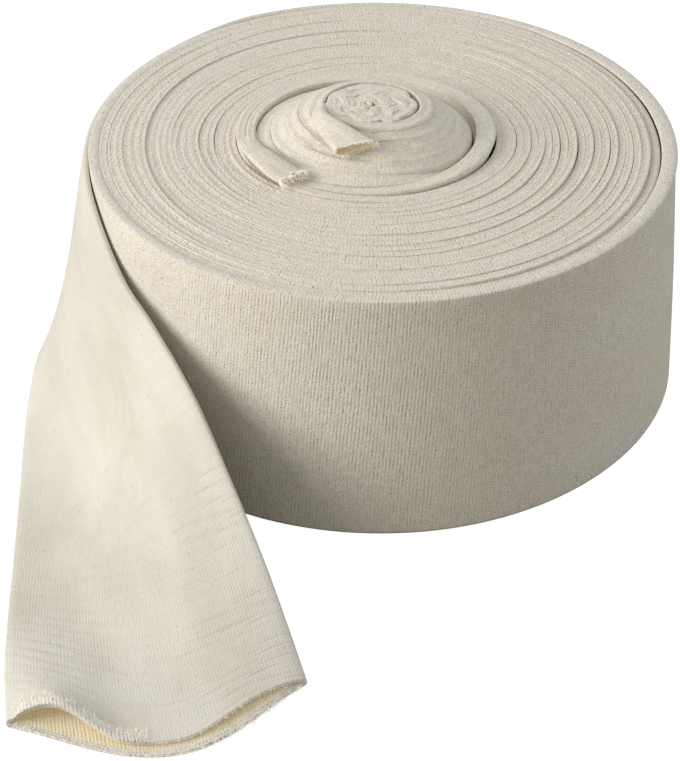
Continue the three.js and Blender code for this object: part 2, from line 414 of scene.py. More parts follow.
leaving_knit, run, girth, clump, fibre = start_knit("leaving_knit")
groove, pit = ribbing(run, girth, clump, RIB_PITCH, RIB_LOOP, RIB_LEAN, broken=260)
fade = run.step(*RIBS_FADE)
groove, pit = groove * (1 - fade), pit * (1 - fade)
# the colour fades from cream to the loose end's darker copy, painted shade
knit_shader(fade.blend(CREAM, LOOSE_PAINTED_SHADE), groove, pit, clump, fibre, relief=0.075, shade=0.11,
            mottle=fade * -0.08 + 0.12)
print("ribs", round(RIB_PITCH / MM, 2), "mm apart, fading between", RIBS_FADE, "m past the roll")

# %% [markdown]
# ## Folds on the face
# On the roll's face one looks at folded edges. Ribs turn over each fold, finer lines follow it, and
# the valleys between folds are sunk in the bump and darkened with painted shade. The core was handled
# more than the rest, so its loops are pressed smooth. All of this could be carved, at a hundred times
# the faces. The folds themselves are mesh, and only what is finer than a fold is left to the material.

# %% Face knit
FOLD_EDGE = (0.7 * MM, 1.3 * MM)
HUB_ENDS = (1.1, 1.6)
FACE_RIBS = 0.5
FACE_LINES = 0.55
FACE_VALLEYS = 0.55

face_knit, run, girth, clump, fibre = start_knit("face_knit")
groove, pit = ribbing(run, girth, clump, 1.05 * MM, 1.5 * MM, broken=400)
line = lines(girth, run, 0.80 * MM, broken=90)
valley = girth.math("ABSOLUTE").step(*FOLD_EDGE)
# painted shade: the valleys between folds darken the colour as well as the bump
groove = groove * FACE_RIBS + line * FACE_LINES + valley * FACE_VALLEYS
past_hub = run.step(*HUB_ENDS)
# the face's base colour is the lighter copy of the cream, painted light
knit_shader(FACE_PAINTED_LIGHT, groove, pit * (past_hub + 0.35), clump, fibre, relief=0.07, shade=0.10, mottle=0.12)
print("face knit has", len(face_knit.node_tree.nodes), "nodes")

# %% [markdown]
# ## The loose cloth
# The loose end is nearly smooth at the roll. Toward its mouth the knit opens: fine wales run along
# it, rows of loops cross them, and a few slanting creases are left from the winding. One strength
# all over would be easier, but the photograph shows the change, so a mask on the run brings the
# knit in.

# %% Loose knit
KNIT_OPENS = (0.13, 0.21)
ROW_PITCH = 1.5 * MM
CREASE_PITCH = 4.0 * MM
WALES = 0.7
ROWS = 0.45
PITS = 0.6
CREASE_DEPTH = 0.25

loose_knit, run, girth, clump, fibre = start_knit("loose_knit")
groove, pit = ribbing(girth, run, clump, 0.86 * MM, 1.2 * MM, broken=420)
near_mouth = run.step(*KNIT_OPENS)
groove = groove * WALES + (run / ROW_PITCH).wave() * clump.step(0.4, 0.6) * ROWS
creases = lines(run, girth, CREASE_PITCH, broken=40, lean=0.20)
creases = creases * noise(run, girth, 55, 8, detail=1, offset=6.1).step(0.34, 0.58)
groove = groove * near_mouth
pit = pit * near_mouth * PITS
creases = creases * near_mouth * CREASE_DEPTH
# the loose end's base colour is the darker copy of the cream, painted shade
knit_shader(LOOSE_PAINTED_SHADE, groove, pit, clump, fibre, relief=0.05, shade=0.045, mottle=0.04, creases=creases)
print("the knit opens between", KNIT_OPENS, "m along the loose end")

# %% [markdown]
# ## Lip and inside
# The turned lip is paler, with coarse, open loops. Inside the tube the ribs run toward the mouth and
# the light is yellow, because it comes through the cloth. A translucent shader would give that light
# at the price of a noisy picture. A tan colour and a faint tan glow, painted light, give the same look
# and cost nothing.

# %% Lip knit and inside knit
INSIDE_GLOW = 0.12

lip_knit, run, girth, clump, fibre = start_knit("lip_knit")
groove, pit = ribbing(run, girth, clump, 0.9 * MM, 1.0 * MM, broken=500)
knit_shader(PALE, groove, pit, clump, fibre, relief=0.14, shade=0.06, mottle=0.12)

inside_knit, run, girth, clump, fibre = start_knit("inside_knit")
groove, pit = ribbing(girth, run, clump, 0.9 * MM, 1.2 * MM, broken=120)
knit_shader(TAN, groove, pit, clump, fibre, relief=0.08, shade=0.08, mottle=0.06)
inside_shader = inside_knit.node_tree.nodes["Principled BSDF"]
# painted light: the inside glows faintly in tan
inside_shader.inputs["Emission Color"].default_value = TAN
inside_shader.inputs["Emission Strength"].default_value = INSIDE_GLOW
print("inside knit glows by", INSIDE_GLOW)

# %% [markdown]
# ## Loose threads
# A cut thread is pale with tan stretches. It is too thin for a pattern of its own, and has no run
# or girth, so a noise on the object's coordinates is enough. Threads are thinner than they can be
# modelled, and let light through, which a small glow stands for.

# %% Thread cotton
OBJECT_PLACE = 3
THREAD_GLOW = 0.22
THREAD_ROUGHNESS = 0.9
STRETCHES = 900.0

thread_cotton = bpy.data.materials.new("thread_cotton")
thread_cotton.use_nodes = True
thread_tree = thread_cotton.node_tree
place = Wire(thread_tree, thread_tree.nodes.new("ShaderNodeTexCoord").outputs[OBJECT_PLACE])
stretches = place.node("ShaderNodeTexNoise", {"Vector": place, "Scale": STRETCHES, "Detail": 2.0})
thread_colour = stretches.step(0.54, 0.76).blend(PALE, TAN)
thread_shader = thread_tree.nodes["Principled BSDF"]
thread_tree.links.new(thread_colour.socket, thread_shader.inputs["Base Color"])
thread_shader.inputs["Roughness"].default_value = THREAD_ROUGHNESS
thread_shader.inputs["Emission Color"].default_value = PALE
thread_shader.inputs["Emission Strength"].default_value = THREAD_GLOW
print("materials:", [m.name for m in bpy.data.materials])

# %% [markdown]
# ## A body skinned over rings
# Each length of cloth is a row of closed rings, one for each station of its run. A curve with a
# bevel could sweep one outline along a spiral, but here the outline changes all the time. The
# helper joins the rings, closes both ends, and gives every corner its place on the cloth in metres,
# so that the knit follows the thread.

# %% Faces between rings


def ring_quads(rows, points):
    """The corners of the quads between each ring and the next."""
    around = np.arange(points)
    following = (around + 1) % points
    base = (np.arange(rows - 1) * points)[:, None]
    return np.stack([base + around, base + following, base + following + points,
                     base + around + points], axis=-1)


def corner_places(place):
    """The place on the cloth of each quad's four corners."""
    return np.stack([place[:-1, :-1], place[:-1, 1:], place[1:, 1:], place[1:, :-1]], axis=2)


def inside_out(points, quads):
    """Whether the quads face inward, told by the sign of the volume that they close."""
    a, b, c, d = (points[quads[..., k].ravel()] for k in range(4))
    return (np.cross(a, b) * c).sum() + (np.cross(a, c) * d).sum() < 0


print("two rings of 4 points are joined by", ring_quads(2, 4).shape[1], "quads")

# %% The skinning helper
SMOOTH_UP_TO = radians(70)


def skin(name, rings, run, girth, materials, finish_of=None):
    """A closed mesh over rings of (rows, points, 3) in millimetres, with the cloth's UV map."""
    rows, points = rings.shape[:2]
    quads = ring_quads(rows, points)
    run = np.broadcast_to(np.asarray(run, float)[:, None], (rows, points + 1))
    place = np.stack([run, girth], axis=-1)
    corners = corner_places(place)
    first_ring = np.arange(points)[::-1]
    last_ring = np.arange(points) + (rows - 1) * points
    caps = [first_ring, last_ring]
    cap_places = [place[0, :-1][::-1], place[-1, :-1]]
    flat = rings.reshape(-1, 3)
    if inside_out(flat, quads):
        quads, corners = quads[..., ::-1], corners[:, :, ::-1]
        caps = [cap[::-1] for cap in caps]
        cap_places = [cap[::-1] for cap in cap_places]
    mesh = bpy.data.meshes.new(name)
    faces = quads.reshape(-1, 4).tolist() + [cap.tolist() for cap in caps]
    mesh.from_pydata(flat * MM, [], faces)
    layer = mesh.uv_layers.new(name="cloth")
    values = np.concatenate([corners.reshape(-1, 2), *cap_places]) * MM
    layer.data.foreach_set("uv", values.astype(np.float32).ravel())
    piece = bpy.data.objects.new(name, mesh)
    bpy.context.scene.collection.objects.link(piece)
    for material in materials:
        mesh.materials.append(material)
    if finish_of is not None:
        finish = np.concatenate([finish_of.ravel(), [0, 0]]).astype(np.int32)
        mesh.polygons.foreach_set("material_index", finish)
    mesh.validate()
    bpy.ops.object.select_all(action="DESELECT")
    piece.select_set(True)
    bpy.context.view_layer.objects.active = piece
    bpy.ops.object.shade_smooth_by_angle(angle=SMOOTH_UP_TO)
    print(name, len(mesh.polygons), "faces")
    return piece


print("edges are shaded smooth up to", round(SMOOTH_UP_TO, 2), "radians")

# %% [markdown]
# ## Curves, soft steps and chance
# A hand-wound roll is never even. Its course is given at a few places, and a smooth curve is run
# through them. Small chances are added on top, always from the same seed, so that each run of this
# file gives the same roll. Blender's own curves could be bent by hand to the same shape, but numbers
# can be read again and changed one at a time.

# %% Helpers for smooth values


def curve_through(values, at):
    """A smooth curve through evenly spaced values, read at places counted in steps."""
    values = np.asarray(values, float)
    before = 2 * values[0] - values[1]
    after = 2 * values[-1] - values[-2]
    padded = np.concatenate([[before], values, [after]])
    i = np.clip(np.floor(at).astype(int), 0, len(values) - 2)
    f = (at - i).reshape(-1, *[1] * (values.ndim - 1))
    p0, p1, p2, p3 = (padded[i + k] for k in range(4))
    m1, m2 = (p2 - p0) / 2, (p3 - p1) / 2
    cubic = (2 * p1 - 2 * p2 + m1 + m2) * f**3
    square = (3 * p2 - 3 * p1 - 2 * m1 - m2) * f**2
    return cubic + square + m1 * f + p1


def smooth(low, high, value):
    """0 up to low and 1 from high on, with a soft rise between."""
    f = np.clip((value - low) / (high - low), 0, 1)
    return f * f * (3 - 2 * f)


def window(value, low, high, soft):
    """1 between low and high, and 0 outside, with soft edges."""
    opened = smooth(low - soft / 2, low + soft / 2, value)
    return opened * (1 - smooth(high - soft / 2, high + soft / 2, value))


def wander(at, step, seed):
    """Smooth chance between -1 and 1, with one new value for each step."""
    count = int(np.max(at) / step) + 3
    knots = np.random.default_rng(seed).uniform(-1, 1, count)
    i = np.floor(at / step).astype(int)
    f = at / step - i
    f = f * f * (3 - 2 * f)
    return knots[i] * (1 - f) + knots[i + 1] * f


def travel_along(path):
    """How far along a path each of its points lies."""
    steps = np.linalg.norm(np.diff(path, axis=0), axis=1)
    return np.concatenate([[0], np.cumsum(steps)])


def unit(vectors):
    """The same directions, one long."""
    return vectors / np.linalg.norm(vectors, axis=1, keepdims=True)


print("halfway up a soft step is", float(smooth(0, 1, 0.5)))

# %% [markdown]
# ## The winding's tables
# Turns are counted from the core. A whole number is a crossing of the +X axis, and a quarter more
# is a quarter turn on, at the back. The hub's turns were pushed up and apart by hand, so tables give
# where each one runs, how far it stands over the rim and how wide its fold is. From there to the
# rim the turns lie evenly, and the last three are looser again. A plain spiral with noise would need
# no tables, but it has none of the steps that make this roll look wound by someone.

# %% The hub's turns
HUB_FIRST = 6
HUB_RADII = [  # from the hub's centre, at the right, back, left and front
    [11.1, 10.2, 11.5, 11.0],
    [16.2, 14.6, 15.5, 14.0],
    [20.2, 18.2, 19.2, 17.0],
    [22.9, 21.4, 22.6, 19.9],
    [25.7, 25.0, 26.5, 22.9],
    [28.2, 29.2, 30.7, 26.0],
    [30.9, 34.3, 34.3, 29.4],
    [33.3, 37.4, 37.1, 33.0],
    [38.2, 40.4, 40.3, 36.0],
]
HUB_RISES = [  # over the height of the rim
    [11.9, 12.0, 11.9, 11.4],
    [11.2, 11.6, 11.5, 9.8],
    [9.2, 9.2, 10.0, 8.0],
    [7.2, 6.8, 7.8, 6.2],
    [4.8, 4.2, 4.8, 4.4],
    [2.0, 1.4, 2.3, 2.4],
    [-1.0, 1.8, 2.5, 0.9],
    [2.5, 1.4, 2.5, 0.3],
    [0.2, 0.3, 0.3, 0.1],
]
HUB_WIDTHS = [  # half of each fold's width
    [1.9, 1.4, 1.35, 1.6],
    [2.0, 1.7, 1.9, 1.0],
    [1.9, 1.7, 1.75, 1.4],
    [1.45, 1.6, 1.7, 1.4],
    [1.3, 1.7, 2.0, 1.5],
    [1.1, 2.0, 2.1, 1.6],
    [1.0, 1.5, 1.25, 1.6],
    [2.7, 1.5, 1.45, 1.6],
    [1.9, 1.4, 1.3, 1.4],
]
print("the hub is", len(HUB_RADII), "turns, out to", HUB_RADII[-1][0], "mm")

# %% The rim's turns and the core
RIM_RADII = [  # the last turns, from the outermost inward
    [83.85, 84.6, 81.4, 83.65],
    [79.85, 82.0, 78.7, 80.7],
    [77.0, 79.2, 76.2, 78.0],
]
RIM_WIDTHS = [
    [2.2, 1.45, 1.55, 1.5],
    [1.32, 1.45, 1.3, 1.45],
    [1.4, 1.3, 1.25, 1.3],
]
RIM_RISES = [[0, 0, 0, 0], [-0.9, 0, 0, -0.45], [0, 0, 0, 0]]
CORE_START = 0.36
CORE_FIRST_RADIUS = 0.35
CORE_PITCH = 1.68
CORE_OVAL = 0.87
CORE_RISE = 12.0
CORE_HALF_WIDTH = 0.58 * CORE_PITCH
LAST_TURN = 34
END = LAST_TURN + LEAVE_ANGLE / 360
print("the winding has", round(END - CORE_START, 2), "turns")

# %% [markdown]
# ## A value for every quarter turn
# Core, hub, face and rim follow each other along one piece of cloth, so their tables are joined
# into one row of values. Where the face's turns lie evenly, the row is filled in between the hub's
# last turn and the rim's first.

# %% Radii, widths and rises
FACE_SHARE = 0.485


def last_whole(quarter):
    """The last turn that crosses this quarter."""
    return LAST_TURN if quarter < 2 else LAST_TURN - 1


def core_radius(turn, quarter):
    """The core's oval spiral."""
    return (CORE_FIRST_RADIUS + CORE_PITCH * turn) * (CORE_OVAL if quarter % 2 else 1)


def face_radius(k, quarter):
    """Evenly spaced between the hub's last turn and the rim's first."""
    hub_last = HUB_FIRST + len(HUB_RADII) - 1
    share = (k - hub_last) / (last_whole(quarter) - len(RIM_RADII) + 1 - hub_last)
    return HUB_RADII[-1][quarter] * (1 - share) + RIM_RADII[-1][quarter] * share


def face_width(k, quarter):
    """A little under half of the room between two turns."""
    return FACE_SHARE * (face_radius(k + 1, quarter) - face_radius(k, quarter))


def quarter_values(core, hub, face, rim):
    """One value for each quarter turn, from the core to the rim."""
    rows = [[core(k + q / 4, q) for q in range(4)] for k in range(HUB_FIRST)] + hub
    for k in range(len(rows), LAST_TURN + 2):
        row = []
        for q in range(4):
            inward = max(last_whole(q) - k, 0)
            row.append(rim[inward][q] if inward < len(rim) else face(k, q))
        rows.append(row)
    return np.array(rows, float).ravel()


radii = quarter_values(core_radius, HUB_RADII, face_radius, RIM_RADII)
widths = quarter_values(lambda turn, q: CORE_HALF_WIDTH, HUB_WIDTHS, face_width, RIM_WIDTHS)
rises = quarter_values(lambda turn, q: CORE_RISE, HUB_RISES, lambda k, q: 0, RIM_RISES)
print("turns on the face are", round(face_width(20, 0) / FACE_SHARE, 2), "mm apart")

# %% [markdown]
# ## The winding's course
# The course says where a fold's middle runs, how wide the fold is and how high it stands, at any
# place of the winding. The winder's hand leaves small sways on the face, and the core was crumpled
# between the fingers. They could be pushed into the finished mesh, but neighbours would then run
# into each other. Added to the course, they make the next turn give way.

# %% Where a fold runs
TURN_PITCH = 2.5
FACE_FROM, FACE_TO = 14.5, 31.5
CORE_FROM, CORE_TO = 1.2, 6.3
WIDE_SWAY, NARROW_SWAY, QUICK_SWAY = 0.28, 0.20, 0.15
WIDE_CRUMPLE, NARROW_CRUMPLE = 0.50, 0.32


def leg_radius(turn):
    """The middle of the last turn's two walls, round as in the CAD."""
    return LAST_MIDDLE - TURN_PITCH * (END - turn)


def fold_radius(turn):
    """Where a fold runs, with the small sways that the winder's hand leaves."""
    turn = np.clip(turn, 0, END)
    r = curve_through(radii, 4 * turn)
    angle = tau * turn
    on_face = window(turn, FACE_FROM, FACE_TO, 2)
    sway = WIDE_SWAY * np.sin(3 * angle + r / 5) + NARROW_SWAY * np.sin(5 * angle - r / 3.5 + 1)
    in_core = window(turn, CORE_FROM, CORE_TO, 1.4)
    crumple = WIDE_CRUMPLE * np.sin(7 * angle + 0.2 * r)
    crumple = crumple + NARROW_CRUMPLE * np.sin(12 * angle - 0.15 * r + 2)
    return r + on_face * (sway + QUICK_SWAY * wander(turn, 0.11, 11)) + in_core * crumple


def arc_steps(turns):
    """The cloth's length between each of these places and the next."""
    radius = fold_radius(turns)
    return np.diff(turns) * tau * (radius[1:] + radius[:-1]) / 2


def winding_length(turn):
    """How much cloth lies inside a place of the winding."""
    return float(arc_steps(np.linspace(CORE_START, turn, 6000)).sum())


print("wound cloth:", round(winding_length(END) / 1000, 2), "m")

# %% How wide and how high it is
TOUCHING = 0.515
SPREAD = 1.05
HAND_RISES = (0.30, 0.12, 0.5)  # slow and quick on the face, and crumpled in the core


def end_share(turn):
    """0 along the winding, rising to 1 where the last turn leaves the roll."""
    return np.clip((turn - (LAST_TURN + 0.1)) / (END - LAST_TURN - 0.1), 0, 1)


def course(turn):
    """A fold's middle, half width and rise at places of the winding."""
    r = fold_radius(turn)
    half = curve_through(widths, 4 * np.clip(turn, 0, END))
    inner, outer = r - fold_radius(turn - 1), fold_radius(turn + 1) - r
    close = TOUCHING * np.minimum(inner, np.where(turn + 1 < END, outer, 9))
    on_face = window(turn, FACE_FROM, FACE_TO, 1)
    half = half * (1 - on_face) * SPREAD + close * on_face
    at_end = end_share(turn)
    half = half * (1 - at_end) + WALL * at_end
    r = r * (1 - at_end) + leg_radius(turn) * at_end
    slow, quick, crumpled = HAND_RISES
    rise = curve_through(rises, 4 * np.clip(turn, 0, END))
    rise = rise + slow * wander(turn, 0.45, 21) * window(turn, 14, 33.2, 1)
    rise = rise + quick * wander(turn, 0.06, 22) * window(turn, 6, 33.2, 1)
    core = 1 - smooth(5.2, 6.4, turn)
    rise = rise + crumpled * core * wander(turn, 0.07, 23)
    return r, half, rise


print("the hub's first fold:", [round(float(v[0]), 1) for v in course(np.array([6.0]))])

# %% [markdown]
# ## Where the two lengths end
# On the real roll two ends show on the face, where a piece of the tube was cut while it was wound.
# The core's last fold and the ring's last fold leave their turns there, lean over their neighbours
# and press them down. Cloth simulation could find how far. It is quicker to say it: a table of
# places, and how deep each one gives way.

# %% What gives way
CORE_CUT = 7 + 250 / 360
RING_CUT = 13 + 222 / 360
PRESSED = [  # share of a turn from, to, softness; turns from, to, softness; depth
    (0.60, 0.76, 0.06, 7.75, 9.9, 0.02, 1.3),
    (0.44, 0.70, 0.12, 7.42, 9.0, 0.3, 0.4),
    (0.54, 0.66, 0.05, 11.5, 12.9, 0.1, 0.9),
]
END_SINKS = 2.4


def give_way(turn):
    """How far the folds under the two cut ends are pressed down, and the two ends sink below them."""
    share = turn - np.floor(turn)
    pressed = sum(depth * (window(share, a, b, soft) * window(turn, first, last, turn_soft))
                  for a, b, soft, first, last, turn_soft, depth in PRESSED)
    core_sinks = smooth(CORE_CUT - 0.22, CORE_CUT, turn) * (turn < CORE_CUT + 0.006)
    ring_sinks = smooth(RING_CUT - 0.16, RING_CUT, turn) * (turn < RING_CUT + 0.003)
    return pressed + END_SINKS * core_sinks + END_SINKS * ring_sinks


print("the core is cut at turn", round(CORE_CUT, 2), "and the ring at", round(RING_CUT, 2))

# %% [markdown]
# ## The shape of a fold
# Folds that were pressed together lie flat, with a sharp valley between them. Free folds are
# round, and the ones on the hub's flank tilt with it. One round profile for all would make the face
# look like a coil of cord, so depth and tilt change along the winding. The core's turns, which were
# rolled between the fingers, are also pushed about sideways.

# %% Depth, tilt and crumple
DEPTH_FRONT = 0.26
DEPTH_SIDE = 0.04
FACE_DEPTH = 0.08
UNEVEN = 0.9
FLANK_FLATTENS = 0.75
HUB_CENTRE = np.array([-2.1, 0.3])
CRUMPLED = (8.0, 13.5)
SHIFT_X, SHIFT_Y = 0.55, 0.50


def fold_depth(turn, half):
    """How far a fold's edges lie below its crest. Turns that were pressed together lie flatter."""
    angle = tau * turn
    depth = half * (DEPTH_FRONT + DEPTH_SIDE * np.abs(np.cos(angle)))
    on_face = window(turn, 13.9, 32.4, 0.4)
    uneven = FACE_DEPTH * (1 + UNEVEN * wander(turn, 0.37, 41))
    depth = depth * (1 - on_face) + half * uneven * on_face
    on_slope = window(turn, 7.5, 10.8, 0.3) * np.clip(0.4 - np.cos(angle + 0.3), 0, 1)
    depth = depth * (1 - FLANK_FLATTENS * on_slope)
    at_end = end_share(turn)
    return depth * (1 - at_end) + half * at_end


def hub_slope(turn):
    """The tilt of a fold that lies on the hub's flank."""
    outer = course(np.clip(turn + 1, 0, END))
    inner = course(np.clip(turn - 1, 0, END))
    slope = (outer[2] - inner[2]) / np.maximum(outer[0] - inner[0], 1)
    return np.clip(slope, -1, 1) * window(turn, 6.9, 12.2, 0.5)


def core_crumple(x, y):
    """The core was rolled in the fingers, and its turns are crumpled together."""
    share = 1 - smooth(*CRUMPLED, np.hypot(x - HUB_CENTRE[0], y - HUB_CENTRE[1]))
    dx = SHIFT_X * np.sin(0.62 * y + 0.5 * np.sin(0.5 * x) + 1.0)
    dy = SHIFT_Y * np.sin(0.66 * x + 0.4 * np.sin(0.6 * y))
    return x + dx * share, y + dy * share


some_turns = np.array([8.0, 20.0])
print("folds at turns 8 and 20 are", fold_depth(some_turns, course(some_turns)[1]).round(2), "mm deep")

# %% [markdown]
# ## The tube seen end on
# The flattened tube is two walls with a round fold at the top and another at the foot. Each part
# of this outline gets a small function of its own, and all of them give offsets out of the roll and
# heights. A circle squeezed flat would be one line of code, but its folds would be knife sharp and
# its walls would bulge.

# %% Four parts of the outline
TOP_POINTS = 11
FOOT_POINTS = 5
FOLD_REACH = 3.5
LEG_FOOT = 1.5


def foot_fold(leg_half, flare, foot_z):
    """The round fold at the foot, from its inner to its outer side."""
    for c in np.cos(np.linspace(pi, 0, FOOT_POINTS)):
        yield leg_half * c + flare, foot_z + leg_half * (1 - np.sqrt(max(1 - c * c, 0)))


def outer_wall(leg_half, flare, bulge, leg_top, points):
    """The wall that faces out of the roll, from its foot up."""
    for share in np.linspace(0, 1, points):
        aside = leg_half + bulge * sin(pi * share) + flare * (1 - share) ** 1.2
        yield aside, LEG_FOOT + (leg_top - LEG_FOOT) * share


def top_fold(half, rise, depth, crease, slope):
    """The round fold on top, from its outer to its inner side."""
    for a in np.linspace(0, pi, TOP_POINTS):
        dip = crease * sin(a) ** 9
        level = FLAT_WIDTH + rise - depth * (1 - sin(a) ** 0.8) - dip + slope * half * cos(a)
        yield half * cos(a), level


def inner_wall(leg_half, flare, leg_top):
    """The wall that faces into the roll, from its top down."""
    for share in (1, 0):
        yield -leg_half + flare * (1 - share), LEG_FOOT + (leg_top - LEG_FOOT) * share


print("an inner turn's outline has", FOOT_POINTS + 2 + TOP_POINTS + 2, "points")

# %% [markdown]
# ## The last turn's own form
# The last turn is all that shows of the wall. Its foot spreads a little on the table, its side
# bulges in front, and it is tucked in on the left under the loose end. These three could be sculpted
# on the finished mesh. As sums along the winding they stay smooth and can be turned off one by one.

# %% Outlines along the winding
SIDE_BULGE = 0.5
FOOT_FLARE = 2.4
RIM_TUCK = 1.6
CREASE = 0.15
WIDEST_CREASED = 2.0
FOOT_GAP, FOOT_UNEVEN = 0.15, 0.5


def foot_spread(on_last, degrees_on):
    """How far the last turn's foot spreads on the table."""
    in_front = window(degrees_on, 225, 415, 50) + 0.5 * window(degrees_on, 245, 300, 50)
    return FOOT_FLARE * on_last * in_front


def outlines(turns, half, rise, on_last, degrees_on, leg_half, wall_points):
    """Offsets and heights of every outline's points, and which of them are the top fold's."""
    flare = foot_spread(on_last, degrees_on)
    bulge = SIDE_BULGE * on_last * window(degrees_on, 244, 450, 58)
    foot_z = FOOT_GAP + FOOT_UNEVEN * (wander(turns, 0.3, 31) + 1) * (1 - on_last)
    leg_top = FLAT_WIDTH - FOLD_REACH + np.minimum(rise, 0)
    crease = CREASE * np.minimum(half, WIDEST_CREASED) * window(turns, 0.6, 32.9, 0.4)
    crease = crease * (1 + window(turns, 7.2, 12, 1))
    foot = list(foot_fold(leg_half, flare, foot_z))
    outer = list(outer_wall(leg_half, flare, bulge, leg_top, wall_points))
    top = list(top_fold(half, rise, fold_depth(turns, half), crease, hub_slope(turns)))
    inner = list(inner_wall(leg_half, flare, leg_top))
    points = foot + outer + top + inner
    offsets = np.stack([point[0] for point in points], axis=1)
    heights = np.stack([point[1] for point in points], axis=1)
    on_top = np.repeat([0, 1, 0], [len(foot) + len(outer), len(top), len(inner)])
    return offsets, heights, on_top[None, :, None]


print("the last turn's foot spreads by", FOOT_FLARE, "mm")

# %% [markdown]
# ## One length of wound cloth
# The outlines are set up square to the course, evenly spaced along the cloth, and skinned. A long
# cylinder could be bent into a spiral with a modifier, but it would stretch on the outside of every
# turn and squeeze on the inside. Laid station by station, the cloth keeps its length.

# %% The strip
WIND_CENTRED = (13, LAST_TURN - 15)


def normals(path):
    """Unit vectors that point out of the roll, square to a path."""
    ahead = unit(np.gradient(path, axis=0))
    return np.stack([ahead[:, 1], -ahead[:, 0]], axis=1)


def girths(profile, crown):
    """How far round its ring each point lies, counted from the crown of its fold."""
    closed = np.concatenate([profile, profile[:, :1]], axis=1)
    around = np.cumsum(np.linalg.norm(np.diff(closed, axis=1), axis=2), axis=1)
    around = np.concatenate([np.zeros((len(around), 1)), around], axis=1)
    return around - around[:, crown:crown + 1]


def stations(first, last, step):
    """Places of the winding that lie evenly along the cloth, and the cloth's length."""
    dense = np.linspace(first, last, 4000)
    lengths = np.concatenate([[0], np.cumsum(arc_steps(dense))])
    count = max(int(lengths[-1] / step), 8) + 1
    return np.interp(np.linspace(0, lengths[-1], count), lengths, dense), lengths[-1]


def strip(name, first, last, step, finish, wall_points=2):
    """The wound cloth from one place of the winding to another."""
    turns, length = stations(first, last, step)
    radius, half, rise = course(turns)
    rise = rise - give_way(turns)
    on_last = (turns >= END - 1).astype(float)
    degrees_on = 360 * (turns - END + 1) + LEAVE_ANGLE
    tuck = RIM_TUCK * on_last * window(degrees_on, 128, 206, 20)
    leg = np.where(on_last > 0, leg_radius(turns) - tuck, radius)
    leg_half = np.where(on_last > 0, WALL, np.minimum(half, WALL))
    offsets, heights, on_top = outlines(turns, half, rise, on_last, degrees_on, leg_half, wall_points)

    round_turn = np.stack([np.cos(tau * turns), np.sin(tau * turns)], axis=1)
    centred_from, centred_over = WIND_CENTRED
    centre = HUB_CENTRE * (1 - np.clip((turns - centred_from) / centred_over, 0, 1))[:, None]
    leg_path = centre + leg[:, None] * round_turn
    top_path = centre + radius[:, None] * round_turn
    legs = leg_path[:, None] + normals(leg_path)[:, None] * offsets[..., None]
    tops = top_path[:, None] + normals(top_path)[:, None] * offsets[..., None]
    flat = legs * (1 - on_top) + tops * on_top
    x, y = core_crumple(flat[..., 0], flat[..., 1])
    rings = np.stack([x, y, heights], axis=-1)

    across = np.where(on_top[..., 0] > 0, radius[:, None], leg[:, None]) + offsets
    crown = FOOT_POINTS + wall_points + TOP_POINTS // 2
    girth = girths(np.stack([across, heights], axis=-1), crown)
    run = winding_length(first) + np.linspace(0, length, len(turns))
    return skin(name, rings, run, girth, [finish]), length


print("the hub's middle lies", float(np.hypot(*HUB_CENTRE).round(1)), "mm off the roll's axis")

# %% [markdown]
# ## The four lengths
# The roll is one cloth, but it is cut into four lengths here: the core, the ring round it, the
# outer turns and the last turn. The first two end in cut mouths on the face. The last turn has a
# finish of its own and more points up its side, because it is the only one whose wall shows. One
# mesh would be truer, but it would carry the fine steps of the core all the way out.

# %% The four lengths
core_length, core_flat = strip("core_length", CORE_START, CORE_CUT, 0.8, face_knit)
ring_length, ring_flat = strip("ring_length", CORE_CUT + 0.012, RING_CUT, 1.2, face_knit)
outer_length, outer_flat = strip("outer_length", RING_CUT + 0.006, END - 1, 2.2, face_knit)
last_turn, last_flat = strip("last_turn", END - 1 + 0.0005, END, 1.5, wall_knit, wall_points=14)
print("lengths, in mm:", [round(x) for x in (core_flat, ring_flat, outer_flat, last_flat)])

# %% [markdown]
# ## The cut mouths
# Where the core and the ring end on top, the flattened tube comes out of its turn, lies on its
# neighbours and shows its open end. A solid flap with a dark patch would do from afar. Close by one
# looks into the tube, so each flap is a tube between two edges, thin where it comes out and hollow
# as far as one can see in.

# %% A short tube with an open end
MOUTH_STATIONS = 34
MOUTH_AROUND = 30
MOUTH_WALL = 0.55
DENTS = 0.22
THIN_START = 0.35
SUNK_START = 1.1


def uneven_ring(knots, weights):
    """Chance values round a ring, softened with their neighbours."""
    count = len(knots)
    return np.convolve(np.tile(knots, 3), weights, "same")[count:2 * count]


